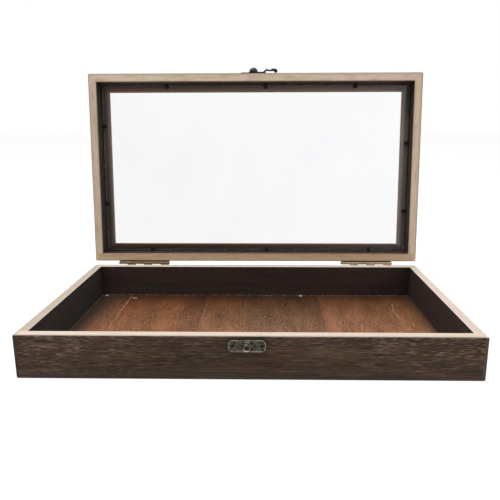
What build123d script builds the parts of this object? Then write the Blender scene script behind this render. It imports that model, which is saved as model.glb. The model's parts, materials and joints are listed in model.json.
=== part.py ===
from build123d import *
import math
import os

# A flat wooden display box: an open tray, and a glazed lid on two stop hinges with a swing hook in front.
# Lengths are in millimetres and angles in degrees.
# X runs along the front, Y runs away from the front, and Z is up.
# The origin is the centre of the underside, and the box stands open, with its lid leaning on the hinge stops.

# Overall sizes
box_width = 352.0
box_depth = 200.0
tray_height = 35.0
lid_height = 23.0
seam_gap = 0.2            # what is left between the two rims when the lid is shut
open_angle = 95.0         # from shut to the hinge stops

# Boards
board = 8.5               # thickness of every wall board
corner_tongue = 2.7       # thin end of a side board that laps over the front or rear board's end
outer_ease = 0.8          # chamfer along the outer edges
rim_ease = 0.4            # chamfer along the inner edge of a rim

# Tray floor, let into a rabbet round the bottom
floor_thickness = 3.0
floor_lap = 4.5           # how far the floor reaches under the boards
floor_play = 0.2

# Lid window
lip_width = 8.4           # how far the window frame stands inside the boards
lip_thickness = 5.0
window_ease = 0.8
pane_thickness = 2.0
pane_play = 0.6           # gap between the pane's edge and the boards

# Glazing points, which are small steel tongues driven into the boards over the pane
point_width = 4.2
point_thickness = 0.9
point_reach = 5.2         # what shows over the pane
point_bite = 3.6          # what is driven into the board
point_corner = 1.0
# They were driven by eye, so their places along each board are uneven
points_on_front = (-95.6, 11.5, 108.2)
points_on_rear = (-115.3, 12.9, 127.1)
points_on_left = (-46.8, 38.3)
points_on_right = (-27.9, 46.3)

# Stop hinges, of bent sheet with six knuckles on a pin
hinge_length = 55.0
hinge_from_end = 26.1     # from an end of the box to the near end of its hinge
knuckle_count = 6
knuckle_gap = 0.2
sheet = 0.8
knuckle_radius = 1.5
pin_play = 0.05           # radial, between the pin and its knuckles
pin_above_rim = 1.4
pin_head = 0.6
leaf_width = 14.0
leaf_corner = 2.0
leaf_start = 2.4          # from the pin's axis to the flat part of a leaf
stop_length = 5.5
stop_gap = 0.1

# Hinge screws, with round heads
hinge_screws = 3
hinge_screw_pitch = 20.0
hinge_screw_line = 8.0    # from the start of the leaf
screw_radius = 0.9
screw_hole_play = 0.15
screw_length = 6.4
screw_point = 1.4
screw_head_radius = 2.1
screw_head_height = 1.1
screw_slot_width = 0.5
screw_slot_length = 2.4
screw_slot_depth = 0.5

# Pressed plates, one under the post and one under the hook
hardware_x = -1.3         # the latch sits a little left of the middle
plate_length = 28.4
plate_height = 9.6
plate_point = 3.2         # how far an end reaches past the straight top and bottom edges
bulge_out = 1.8           # a place on an end's curve, counted out from the straight edge's end
bulge_drop = 1.1          # and the same place, counted down from the straight edge
plate_tip = 0.8           # half the height of the blunt tip
plate_sheet = 0.7
ridge_height = 0.5
border_width = 1.0
nail_from_tip = 3.5
nail_ring_radius = 2.3
nail_ring_width = 0.7
scroll_radius = 3.7
scroll_width = 0.7
scroll_sweep = 150.0      # the curved ridge is open towards the plate's tip
rib_width = 3.8
catch_from_rim = 7.4      # from the tray's rim to the middle of its plate
latch_from_rim = 8.2      # and from the lid's rim to the middle of its own
post_from_middle = 0.9    # the post sits nearer the rim than its plate's middle
rivet_from_middle = 2.2   # and the rivet further from the rim

# Plate nails
nail_radius = 0.6
nail_length = 7.0
nail_head_radius = 1.4
nail_head_height = 0.55

# Post on the tray, a hollow rivet with a rolled lip
post_neck_radius = 1.75
post_foot_radius = 2.6
post_foot_height = 0.6
post_lip_radius = 3.0
post_lip_height = 1.6
post_lip_play = 0.3       # between the hook and the lip over it
post_dish_radius = 1.9    # a place on the lip's inner curve
post_dish_depth = 0.3     # and how far that place lies below the top
post_bore_radius = 1.25
post_bore_floor = 4.4
post_shank = 6.0

# Hook on the lid
strap = 1.3
strap_play = 0.15         # between the hook and its plate
strap_width = 4.6
strap_climb = 3.2         # length of the sloped part
strap_lift = 2.85         # how far the strap climbs
strap_landing = 0.2       # from the top of the slope to the body
hook_body_width = 8.6
hook_body_corner = 1.5
body_before_post = 2.9    # from the body's near end to the post's axis
body_past_post = 6.6      # and from there to the hook's end
notch_play = 0.35
notch_side_play = 0.3
finger_radius = 1.7
finger_width = 5.0        # the rolled end
finger_ease = 0.9

# Rivet that carries the hook
rivet_radius = 1.5
rivet_play = 0.05
rivet_head_radius = 4.5
rivet_head_height = 4.5
rivet_shank = 6.0
eye_margin = 0.6          # how far the hook's eye stands out past the rivet's head

# Working values
near = 0.01               # two places this close are the same
drill = 24.0              # a cutter this long passes right through any sheet piece

# Places that follow from the sizes above
half_width = box_width / 2
half_depth = box_depth / 2
lid_rim = tray_height + seam_gap
lid_top = lid_rim + lid_height
inner_width = box_width - 2 * board
inner_depth = box_depth - 2 * board
lip_bottom = lid_top - lip_thickness
pane_bottom = lip_bottom - pane_thickness
hinge_offset = half_width - hinge_from_end - hinge_length / 2
pin_y = half_depth + knuckle_radius + sheet
pin_z = tray_height + pin_above_rim
pin_radius = knuckle_radius - sheet - pin_play
tray_screw_z = pin_z - leaf_start - hinge_screw_line
plate_top = plate_sheet + ridge_height
nail_spread = plate_length - 2 * nail_from_tip
catch_z = tray_height - catch_from_rim
post_z = catch_z + post_from_middle
latch_z = lid_rim + latch_from_rim
rivet_z = latch_z + rivet_from_middle
hook_reach = rivet_z - post_z
strap_bottom = plate_top + strap_play
strap_raised = strap_bottom + strap_lift
rivet_seat = strap_bottom + strap + strap_play
post_neck_top = strap_raised + strap + post_lip_play
body_start = hook_reach - body_before_post
hook_end = hook_reach + body_past_post
climb_end = body_start - strap_landing
climb_start = climb_end - strap_climb

hinge_axis = Axis((0, pin_y, pin_z), (1, 0, 0))


def opened(piece):
    """Turn a piece of the shut lid back to the hinge stops."""
    return piece.rotate(hinge_axis, -open_angle)


def block(x0, x1, y0, y1, z0, z1):
    """A box between two corners."""
    middle = Pos((x0 + x1) / 2, (y0 + y1) / 2, (z0 + z1) / 2)
    return middle * Box(x1 - x0, y1 - y0, z1 - z0)


def front_plane(x, z):
    """A plane on the front face: x to the right, y up and z out of the box."""
    return Plane(origin=(x, -half_depth, z), x_dir=(1, 0, 0), z_dir=(0, -1, 0))


# Boards

def carcass(bottom, height, rim):
    """Four walls in one piece, with eased outer edges and an eased inner edge at the rim's level."""
    top = bottom + height
    inner_x = inner_width / 2
    inner_y = inner_depth / 2
    outer = chamfer(block(-half_width, half_width, -half_depth, half_depth, bottom, top).edges(), outer_ease)
    walls = outer - block(-inner_x, inner_x, -inner_y, inner_y, bottom, top)

    def on_rim(edge):
        at = edge.center()
        inside = abs(at.X) < inner_x + near and abs(at.Y) < inner_y + near
        return inside and abs(at.Z - rim) < near

    return chamfer(walls.edges().filter_by(on_rim), rim_ease)


def boards(walls, bottom, height):
    """Divide a carcass into front, rear, left and right boards with tongued corners."""
    top = bottom + height
    end_x = half_width - corner_tongue
    end_y = half_depth - board
    front = block(-end_x, end_x, -half_depth, -end_y, bottom, top)
    rear = block(-end_x, end_x, end_y, half_depth, bottom, top)
    left = block(-half_width, -end_x, -half_depth, half_depth, bottom, top)
    left += block(-end_x, board - half_width, -end_y, end_y, bottom, top)
    right = left.mirror(Plane.YZ)
    return [walls & region for region in (front, rear, left, right)]


def floor_space(play):
    """The floor panel's outline, widened by the play round it."""
    reach = floor_lap + play
    x = inner_width / 2 + reach
    y = inner_depth / 2 + reach
    return block(-x, x, -y, y, 0, floor_thickness)


# Lid window

def window_frame():
    """Four mitred strips glued inside the lid's boards, under the window."""
    window_x = inner_width / 2 - lip_width
    window_y = inner_depth / 2 - lip_width
    ring = block(-inner_width / 2, inner_width / 2, -inner_depth / 2, inner_depth / 2, lip_bottom, lid_top)
    ring -= block(-window_x, window_x, -window_y, window_y, lip_bottom, lid_top)

    def on_window(edge):
        at = edge.center()
        inside = abs(at.X) < window_x + near and abs(at.Y) < window_y + near
        level = abs(edge.start_point().Z - edge.end_point().Z) < near
        return inside and level

    ring = chamfer(ring.edges().filter_by(on_window), window_ease)
    corner = (inner_width / 2, inner_depth / 2)
    window = (window_x, window_y)
    front_outline = Polyline((-corner[0], -corner[1]), (corner[0], -corner[1]), (window[0], -window[1]),
                             (-window[0], -window[1]), close=True)
    left_outline = Polyline((-corner[0], corner[1]), (-corner[0], -corner[1]), (-window[0], -window[1]),
                            (-window[0], window[1]), close=True)
    front = Pos(0, 0, lip_bottom) * extrude(make_face(front_outline), lip_thickness)
    left = Pos(0, 0, lip_bottom) * extrude(make_face(left_outline), lip_thickness)
    regions = (front, front.mirror(Plane.XZ), left, left.mirror(Plane.YZ))
    return [ring & region for region in regions]


def glazing_point():
    """One point lying flat: it is driven towards +Y, and its shoulder is at the origin."""
    half = point_width / 2
    outline = Polyline((-half, 0), (0, point_bite), (half, 0), (half, point_corner - point_reach),
                       (half - point_corner, -point_reach), (point_corner - half, -point_reach),
                       (-half, point_corner - point_reach), close=True)
    return extrude(make_face(outline), point_thickness)


def glazing_points():
    """All points, flat on the inner face of the pane."""
    height = pane_bottom - point_thickness
    rows = []
    for x in points_on_front:
        rows.append(Pos(x, -inner_depth / 2, height) * Rot(0, 0, 180))
    for x in points_on_rear:
        rows.append(Pos(x, inner_depth / 2, height))
    for y in points_on_left:
        rows.append(Pos(-inner_width / 2, y, height) * Rot(0, 0, 90))
    for y in points_on_right:
        rows.append(Pos(inner_width / 2, y, height) * Rot(0, 0, -90))
    return [place * glazing_point() for place in rows]


# Hinges

def hinge_plane(x):
    """A section plane through the pin: x away from the box, y towards the leaf of the tray."""
    return Plane(origin=(x, pin_y, pin_z), x_dir=(0, 1, 0), z_dir=(-1, 0, 0))


def knuckle_section():
    """A rolled knuckle and the neck that joins it to its leaf, tangent to the knuckle on the wood's side."""
    foot = Vector(-knuckle_radius - sheet, leaf_start)
    spread = math.degrees(math.acos(knuckle_radius / foot.length))
    touch = Vector(foot.X, foot.Y).normalized().rotate(Axis.Z, spread)
    inner_radius = knuckle_radius - sheet
    neck = Polyline((foot.X, foot.Y + sheet), (foot.X, foot.Y), tuple(touch * knuckle_radius)[:2],
                    tuple(touch * inner_radius)[:2], (foot.X + sheet, foot.Y + sheet), close=True)
    return make_face(neck) + Circle(knuckle_radius) - Circle(inner_radius)


def stop_section():
    """A tongue on the tray's knuckles, on which the lid's leaf lies when the lid is open."""
    outer = knuckle_radius - stop_gap
    inner = knuckle_radius - sheet
    tongue = Polyline((0, -outer), (stop_length, -outer), (stop_length, -inner), (0, -inner), close=True)
    return Rot(0, 0, open_angle - 90) * make_face(tongue)


def hinge_leaf(x, first_knuckle, stops):
    """A leaf in the tray's position, with every second knuckle from the first one on."""
    flat = Pos(-knuckle_radius - sheet / 2, leaf_start + leaf_width / 2) * Rectangle(sheet, leaf_width)
    leaf = extrude(hinge_plane(x + hinge_length / 2) * flat, hinge_length)
    low_corners = leaf.edges().filter_by(Axis.Y).group_by(Axis.Z)[0]
    leaf = fillet(low_corners, leaf_corner)
    pitch = hinge_length / knuckle_count
    section = knuckle_section() + stop_section() if stops else knuckle_section()
    for number in range(first_knuckle, knuckle_count, 2):
        right_end = x - hinge_length / 2 + (number + 1) * pitch - knuckle_gap / 2
        leaf += extrude(hinge_plane(right_end) * section, pitch - knuckle_gap)
    bore = Pos(x, pin_y, pin_z) * Rot(0, 90, 0) * Cylinder(knuckle_radius - sheet, hinge_length)
    leaf -= bore
    for screw_x in screw_places(x):
        hole = Cylinder(screw_radius + screw_hole_play, 2 * sheet)
        leaf -= Pos(screw_x, half_depth + sheet / 2, tray_screw_z) * Rot(90, 0, 0) * hole
    return leaf


def screw_places(x):
    """Places of the screws along one hinge."""
    first = x - hinge_screw_pitch * (hinge_screws - 1) / 2
    return [first + hinge_screw_pitch * number for number in range(hinge_screws)]


def hinge_pin(x):
    """A straight pin with a small round head at each end."""
    length = hinge_length + 2 * pin_head
    pin = Pos(x, pin_y, pin_z) * Rot(0, 90, 0) * Cylinder(pin_radius, length)
    for side in (-1, 1):
        head = Cylinder(knuckle_radius - sheet / 2, pin_head)
        head = fillet(head.edges().group_by(Axis.Z)[-1], pin_head / 2)
        pin += Pos(x + side * (hinge_length + pin_head) / 2, pin_y, pin_z) * Rot(0, 90 * side, 0) * head
    return pin


def round_head(radius, height):
    """A low domed head: the cap of a sphere on the XY plane."""
    sphere_radius = (radius ** 2 + height ** 2) / (2 * height)
    ball = Pos(0, 0, height - sphere_radius) * Sphere(sphere_radius)
    return ball & block(-radius, radius, -radius, radius, 0, height)


def screw():
    """A round-headed screw that points down: the origin is under its head."""
    shank_length = screw_length - screw_point
    shank = Pos(0, 0, -shank_length / 2) * Cylinder(screw_radius, shank_length)
    tip = Pos(0, 0, -shank_length - screw_point / 2) * Rot(180, 0, 0) * Cone(screw_radius, 0, screw_point)
    head = round_head(screw_head_radius, screw_head_height)
    for turn in (0, 90):
        slot = Box(screw_slot_length, screw_slot_width, 2 * screw_slot_depth)
        head -= Pos(0, 0, screw_head_height) * Rot(0, 0, turn) * slot
    return shank + tip + head


def hinge_screw_set(x):
    """The screws of one leaf in the tray's position, through the leaf and into the rear board."""
    places = [Pos(screw_x, half_depth + sheet, tray_screw_z) for screw_x in screw_places(x)]
    return [place * Rot(-90, 0, 0) * screw() for place in places]


def as_lid_side(piece):
    """Mirror a piece of the tray's leaf to the shut lid, over the pin's level."""
    return piece.mirror(Plane(origin=(0, 0, pin_z), z_dir=(0, 0, 1)))


# Pressed plates

def plate_outline():
    """A long plate with a blunt point at each end."""
    x = plate_length / 2
    y = plate_height / 2
    flat = x - plate_point
    full_x = flat + bulge_out
    full_y = y - bulge_drop
    edges = [Line((flat, y), (-flat, y)),
             ThreePointArc((-flat, y), (-full_x, full_y), (-x, plate_tip)),
             Line((-x, plate_tip), (-x, -plate_tip)),
             ThreePointArc((-x, -plate_tip), (-full_x, -full_y), (-flat, -y)),
             Line((-flat, -y), (flat, -y)),
             ThreePointArc((flat, -y), (full_x, -full_y), (x, -plate_tip)),
             Line((x, -plate_tip), (x, plate_tip)),
             ThreePointArc((x, plate_tip), (full_x, full_y), (flat, y))]
    return make_face(edges)


def pressed_plate(hub_y, rim_side, hub_hole):
    """A plate lying on the XY plane, with its hub at hub_y, and a rib from there to the edge on the rim's side."""
    outline = plate_outline()
    inside = offset(outline, -border_width)
    rib_length = plate_height / 2 - rim_side * hub_y
    ridges = [outline - inside,
              Pos(0, hub_y + rim_side * rib_length / 2) * Rectangle(rib_width, rib_length),
              Pos(0, hub_y) * Circle(post_foot_radius)]
    nails = [Pos(side * nail_spread / 2, 0) for side in (-1, 1)]
    for place, facing in zip(nails, (0, 180)):
        ridges.append(place * (Circle(nail_ring_radius) - Circle(nail_ring_radius - nail_ring_width)))
        ridges.append(place * trace(CenterArc((0, 0), scroll_radius, facing - scroll_sweep / 2, scroll_sweep),
                                    scroll_width))
    plate = extrude(outline, plate_sheet)
    border = extrude(outline, plate_top)
    for ridge in ridges:
        plate += extrude(ridge, plate_top) & border
    plate -= Pos(0, hub_y) * Cylinder(hub_hole, drill)
    for place in nails:
        plate -= place * Cylinder(nail_radius, drill)
    return plate


def plate_nails():
    """Two nails through a plate that lies on the XY plane."""
    nail = Pos(0, 0, plate_sheet) * round_head(nail_head_radius, nail_head_height)
    nail += Pos(0, 0, plate_sheet - nail_length / 2) * Cylinder(nail_radius, nail_length)
    return [Pos(side * nail_spread / 2, 0) * nail for side in (-1, 1)]


def catch_post():
    """A hollow rivet on the XY plane, turned about Z, with a rolled lip that holds the hook."""
    roll = post_lip_height / 2
    roll_x = post_lip_radius - roll
    top = post_neck_top + post_lip_height
    foot_top = plate_top + post_foot_height
    profile = [Line((0, -post_shank), (post_neck_radius, -post_shank)),
               Line((post_neck_radius, -post_shank), (post_neck_radius, plate_top)),
               Line((post_neck_radius, plate_top), (post_foot_radius, plate_top)),
               Line((post_foot_radius, plate_top), (post_neck_radius, foot_top)),
               Line((post_neck_radius, foot_top), (post_neck_radius, post_neck_top)),
               Line((post_neck_radius, post_neck_top), (roll_x, post_neck_top)),
               ThreePointArc((roll_x, post_neck_top), (post_lip_radius, post_neck_top + roll), (roll_x, top)),
               ThreePointArc((roll_x, top), (post_dish_radius, top - post_dish_depth),
                             (post_bore_radius, post_neck_top)),
               Line((post_bore_radius, post_neck_top), (post_bore_radius, post_bore_floor)),
               Line((post_bore_radius, post_bore_floor), (0, post_bore_floor)),
               Line((0, post_bore_floor), (0, -post_shank))]
    return revolve(Plane.XZ * make_face(profile), Axis.Z)


def latch_rivet():
    """The hook's rivet on the XY plane, with a high domed head over the hook's eye."""
    shank = Pos(0, 0, (rivet_seat - rivet_shank) / 2) * Cylinder(rivet_radius, rivet_seat + rivet_shank)
    return shank + Pos(0, 0, rivet_seat) * round_head(rivet_head_radius, rivet_head_height)


def latch_hook():
    """The swing hook on the XY plane, pointing to +X, with its notch open towards -Y."""
    eye_radius = rivet_head_radius + eye_margin
    low = strap_bottom
    high = strap_raised
    top = strap_raised + strap
    slope_shift = strap / 2
    side_view = Polyline((-eye_radius, low), (climb_start, low), (climb_end, high), (hook_end, high),
                         (hook_end, top), (climb_end - slope_shift, top),
                         (climb_start - slope_shift, low + strap), (-eye_radius, low + strap), close=True)
    bent_sheet = extrude(Plane.XZ * make_face(side_view), hook_body_width, both=True)
    body_length = hook_end - body_start
    body = RectangleRounded(body_length, hook_body_width, hook_body_corner)
    strap_end = body_start + hook_body_corner
    plan = Circle(eye_radius)
    plan += Pos(strap_end / 2, 0) * Rectangle(strap_end, strap_width)
    plan += Pos(body_start + body_length / 2, 0) * body
    hook = bent_sheet & extrude(plan, drill)
    finger = Pos(hook_end, 0, top - finger_radius) * Rot(90, 0, 0) * Cylinder(finger_radius, finger_width)
    hook += fillet(finger.edges().filter_by(GeomType.CIRCLE), finger_ease)
    notch_radius = post_neck_radius + notch_play
    reach_in = notch_radius + notch_side_play
    way_in = Circle(hook_reach + reach_in) - Circle(hook_reach - reach_in)
    way_in &= Pos(hook_reach, -hook_body_width) * Rectangle(2 * hook_body_width, 2 * hook_body_width)
    notch = Pos(hook_reach, 0) * Circle(notch_radius) + way_in
    hook -= extrude(notch, drill, both=True)
    hook -= Cylinder(rivet_radius + rivet_play, drill)
    return hook


# Assembly

tray_walls = carcass(0, tray_height, tray_height)
lid_walls = carcass(lid_rim, lid_height, lid_rim)
tray_front, tray_rear, tray_left, tray_right = boards(tray_walls, 0, tray_height)
lid_front, lid_rear, lid_left, lid_right = boards(lid_walls, lid_rim, lid_height)
frame_front, frame_rear, frame_left, frame_right = window_frame()

floor_cut = floor_space(floor_play)
tray_front -= floor_cut
tray_rear -= floor_cut
tray_left -= floor_cut
tray_right -= floor_cut

pane_x = inner_width / 2 - pane_play
pane_y = inner_depth / 2 - pane_play
window_pane = block(-pane_x, pane_x, -pane_y, pane_y, pane_bottom, lip_bottom)

points = glazing_points()
for point in points:
    lid_front -= point
    lid_rear -= point
    lid_left -= point
    lid_right -= point

catch_place = front_plane(hardware_x, catch_z)
post_place = front_plane(hardware_x, post_z)
latch_place = front_plane(hardware_x, latch_z)
rivet_place = front_plane(hardware_x, rivet_z)
catch_plate = catch_place * pressed_plate(post_from_middle, 1, post_neck_radius)
latch_plate = latch_place * pressed_plate(rivet_from_middle, -1, rivet_radius)
post = post_place * catch_post()
rivet = rivet_place * latch_rivet()
hook = rivet_place * latch_hook()
catch_nails = [catch_place * nail for nail in plate_nails()]
latch_nails = [latch_place * nail for nail in plate_nails()]
for fastener in [post, *catch_nails]:
    tray_front -= fastener
for fastener in [rivet, *latch_nails]:
    lid_front -= fastener

nodes = {}
tray_screws = []
lid_screws = []
for name, x in (("left", -hinge_offset), ("right", hinge_offset)):
    nodes[f"hinge_{name}_tray_leaf"] = hinge_leaf(x, 1, True)
    nodes[f"hinge_{name}_lid_leaf"] = opened(as_lid_side(hinge_leaf(x, 0, False)))
    nodes[f"hinge_{name}_pin"] = hinge_pin(x)
    tray_screws += hinge_screw_set(x)
    lid_screws += [as_lid_side(piece) for piece in hinge_screw_set(x)]
for piece in tray_screws:
    tray_rear -= piece
for piece in lid_screws:
    lid_rear -= piece

nodes["tray_front_board"] = tray_front
nodes["tray_rear_board"] = tray_rear
nodes["tray_left_board"] = tray_left
nodes["tray_right_board"] = tray_right
nodes["tray_floor"] = floor_space(0)
nodes["lid_front_board"] = opened(lid_front)
nodes["lid_rear_board"] = opened(lid_rear)
nodes["lid_left_board"] = opened(lid_left)
nodes["lid_right_board"] = opened(lid_right)
nodes["window_frame_front"] = opened(frame_front)
nodes["window_frame_rear"] = opened(frame_rear)
nodes["window_frame_left"] = opened(frame_left)
nodes["window_frame_right"] = opened(frame_right)
nodes["window_pane"] = opened(window_pane)
nodes["glazing_points"] = Compound(children=[opened(point) for point in points])
nodes["hinge_tray_screws"] = Compound(children=tray_screws)
nodes["hinge_lid_screws"] = Compound(children=[opened(piece) for piece in lid_screws])
nodes["catch_plate"] = catch_plate
nodes["catch_post"] = post
nodes["catch_nails"] = Compound(children=catch_nails)
nodes["latch_plate"] = opened(latch_plate)
nodes["latch_rivet"] = opened(rivet)
nodes["latch_hook"] = opened(hook)
nodes["latch_nails"] = Compound(children=[opened(nail) for nail in latch_nails])

os.makedirs("parts", exist_ok=True)
for name, piece in nodes.items():
    export_step(piece, f"parts/{name}.step")
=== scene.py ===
# A wooden display box that stands open: a stained tray, and a glazed lid on two stop hinges with a swing hook.
# Blender's lengths are metres. A name that ends in _mm holds millimetres.
import json
import math
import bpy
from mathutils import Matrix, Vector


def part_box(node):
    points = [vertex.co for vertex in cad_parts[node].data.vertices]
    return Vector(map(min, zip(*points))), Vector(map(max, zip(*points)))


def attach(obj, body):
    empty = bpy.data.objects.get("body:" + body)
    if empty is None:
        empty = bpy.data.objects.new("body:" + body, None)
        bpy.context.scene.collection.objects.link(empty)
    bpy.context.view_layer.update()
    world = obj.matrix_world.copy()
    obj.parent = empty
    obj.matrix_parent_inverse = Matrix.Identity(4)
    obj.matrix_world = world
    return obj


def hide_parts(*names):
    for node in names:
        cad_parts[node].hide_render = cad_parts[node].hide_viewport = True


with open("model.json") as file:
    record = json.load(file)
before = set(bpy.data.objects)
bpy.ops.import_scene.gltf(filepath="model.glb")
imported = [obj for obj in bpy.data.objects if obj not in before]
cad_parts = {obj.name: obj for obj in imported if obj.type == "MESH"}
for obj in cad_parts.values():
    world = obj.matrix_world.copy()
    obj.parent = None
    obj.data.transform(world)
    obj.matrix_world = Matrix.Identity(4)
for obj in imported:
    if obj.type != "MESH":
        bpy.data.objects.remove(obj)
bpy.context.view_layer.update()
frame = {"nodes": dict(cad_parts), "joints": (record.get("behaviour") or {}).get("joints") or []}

from types import SimpleNamespace

import bmesh
import bpy
from mathutils import Matrix, Vector

mm = 0.001

# Places that the frame gives
lid_hinge = next(joint for joint in frame["joints"] if joint["name"] == "lid_hinge")
pin = Vector(lid_hinge["pos_m"])
open_angle = math.radians(max(lid_hinge["range_deg"]))
opening = Matrix.Translation(pin) @ Matrix.Rotation(-open_angle, 4, "X") @ Matrix.Translation(-pin)
closing = opening.inverted()


def shut_box(node):
    """Lowest and highest corner of a lid node, with the lid shut."""
    places = [closing @ vertex.co for vertex in frame["nodes"][node].data.vertices]
    lowest = Vector(map(min, zip(*places)))
    highest = Vector(map(max, zip(*places)))
    return lowest, highest


half_width_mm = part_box("tray_right_board")[1].x / mm
half_depth_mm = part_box("tray_rear_board")[1].y / mm
tray_rim_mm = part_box("tray_front_board")[1].z / mm
lid_rim_mm = shut_box("lid_front_board")[0].z / mm
board_mm = half_depth_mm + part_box("tray_front_board")[1].y / mm
floor_top_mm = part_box("tray_floor")[1].z / mm
lid_top_mm = shut_box("lid_front_board")[1].z / mm
lip_low, lip_high = shut_box("window_frame_left")
lip_mm = (lip_high.x - lip_low.x) / mm

# Camera, at the photograph's viewing angle
focal_px = 532.62
picture_px = 500
sensor_mm = 36.0
camera_at_mm = (13.045, -465.654, 189.293)
camera_pitch = math.radians(13.119)
camera_yaw = math.radians(-1.144)
camera_roll = math.radians(-0.153)
principal_px = (256.32, 244.84)


def make_camera():
    """A camera where the photographer's was, with the picture's own framing."""
    data = bpy.data.cameras.new("camera")
    data.sensor_width = sensor_mm
    data.lens = focal_px * sensor_mm / picture_px
    data.shift_x = 0.5 - principal_px[0] / picture_px
    data.shift_y = principal_px[1] / picture_px - 0.5
    data.clip_start, data.clip_end = 0.01, 50
    camera = bpy.data.objects.new("camera", data)
    turn = Matrix.Rotation(-camera_yaw, 4, "Z") @ Matrix.Rotation(math.pi / 2 - camera_pitch, 4, "X")
    turn = turn @ Matrix.Rotation(camera_roll, 4, "Z")
    camera.matrix_world = Matrix.Translation(Vector(camera_at_mm) * mm) @ turn
    bpy.context.scene.collection.objects.link(camera)
    bpy.context.scene.camera = camera


# Shader helpers

def linear(code):
    """A colour such as "#4A3A31" as linear red, green, blue and alpha."""
    channels = [int(code[i:i + 2], 16) / 255 for i in (1, 3, 5)]
    curve = [c / 12.92 if c <= 0.04045 else ((c + 0.055) / 1.055) ** 2.4 for c in channels]
    return (*curve, 1.0)


def add(tree, kind, inputs=None, stops=None, **settings):
    """Add a node with its settings. An input takes a value or the output that feeds it, and a ramp its stops."""
    node = tree.nodes.new("ShaderNode" + kind)
    for name, value in settings.items():
        setattr(node, name, value)
    for name, value in (inputs or {}).items():
        if isinstance(value, bpy.types.NodeSocket):
            tree.links.new(value, node.inputs[name])
        else:
            node.inputs[name].default_value = value
    if stops:
        ramp = node.color_ramp
        while len(ramp.elements) < len(stops):
            ramp.elements.new(0.5)
        for element, (position, colour) in zip(ramp.elements, stops):
            element.position = position
            element.color = linear(colour)
    return node


def new_material(name):
    """A material with an empty node tree, and the tree."""
    material = bpy.data.materials.new(name)
    material.use_nodes = True
    material.node_tree.nodes.clear()
    return material, material.node_tree


def on_shut_box(tree, lid):
    """Where a point lies on the shut box, in millimetres. The lid's are turned back from where it stands open."""
    turn = open_angle if lid else 0.0
    back = (pin - Matrix.Rotation(turn, 3, "X") @ pin) / mm
    coords = add(tree, "TexCoord")
    return add(tree, "Mapping", {"Vector": coords.outputs["Object"], "Location": back, "Rotation": (turn, 0, 0),
                                 "Scale": (1 / mm,) * 3}).outputs[0]


def blotches(tree, place, size, detail=2.0):
    """Noise in blotches of about this size along each axis, in the units of place."""
    scaled = add(tree, "Mapping", {"Vector": place, "Scale": [1 / length for length in size]})
    return add(tree, "TexNoise", {"Vector": scaled.outputs[0], "Scale": 1.0, "Detail": detail})


def layered(tree, colour, *layers, kind="MIX"):
    """A colour with others laid over it in turn, each by its factor."""
    for factor, over in layers:
        over = linear(over) if isinstance(over, str) else over
        colour = add(tree, "Mix", {0: factor, 6: colour, 7: over}, data_type="RGBA", blend_type=kind).outputs[2]
    return colour


def surfaced(tree, height, strength, depth_mm, settings):
    """Close a material with its surface, whose fine relief follows height."""
    bump = add(tree, "Bump", {"Height": height, "Strength": strength, "Distance": depth_mm * mm})
    surface = add(tree, "BsdfPrincipled", {**settings, "Normal": bump.outputs[0]})
    add(tree, "OutputMaterial", {"Surface": surface.outputs[0]})


# Light and surroundings

def make_world():
    """A white studio: white behind, beside and above the box, and a dim room behind the camera in reflections."""
    on_matt = 0.42
    darkest, lightest = 0.1, 0.72
    to_window = (0.8, 0.0, 0.66)
    world = bpy.data.worlds.new("studio")
    bpy.context.scene.world = world
    world.use_nodes = True
    tree = world.node_tree
    tree.nodes.clear()
    coords = add(tree, "TexCoord")
    # The room behind the camera is dark at the left and lighter towards a window high at the right
    lighter = add(tree, "VectorMath", {0: coords.outputs["Generated"], 1: to_window}, operation="DOT_PRODUCT")
    room = add(tree, "MapRange", {"Value": lighter.outputs["Value"], "From Min": -0.11, "From Max": 0.5,
                                  "To Min": darkest, "To Max": lightest})
    side = add(tree, "SeparateXYZ", {"Vector": coords.outputs["Generated"]})
    behind = add(tree, "MapRange", {"Value": side.outputs["Y"], "From Min": -0.35, "From Max": 0.25})
    around = add(tree, "Mix", {"Factor": behind.outputs[0], "A": room.outputs[0], "B": 1.0})
    path = add(tree, "LightPath")
    traced = add(tree, "Math", {0: path.outputs["Is Glossy Ray"], 1: path.outputs["Is Transmission Ray"]},
                 operation="MAXIMUM")
    traced = add(tree, "Mix", {"Factor": traced.outputs[0], "A": on_matt, "B": around.outputs[0]})
    strength = add(tree, "Mix", {"Factor": path.outputs["Is Camera Ray"], "A": traced.outputs[0], "B": 1.0})
    background = add(tree, "Background", {"Color": linear("#FFFFFF"), "Strength": strength.outputs[0]})
    add(tree, "OutputWorld", {"Surface": background.outputs[0]})


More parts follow.
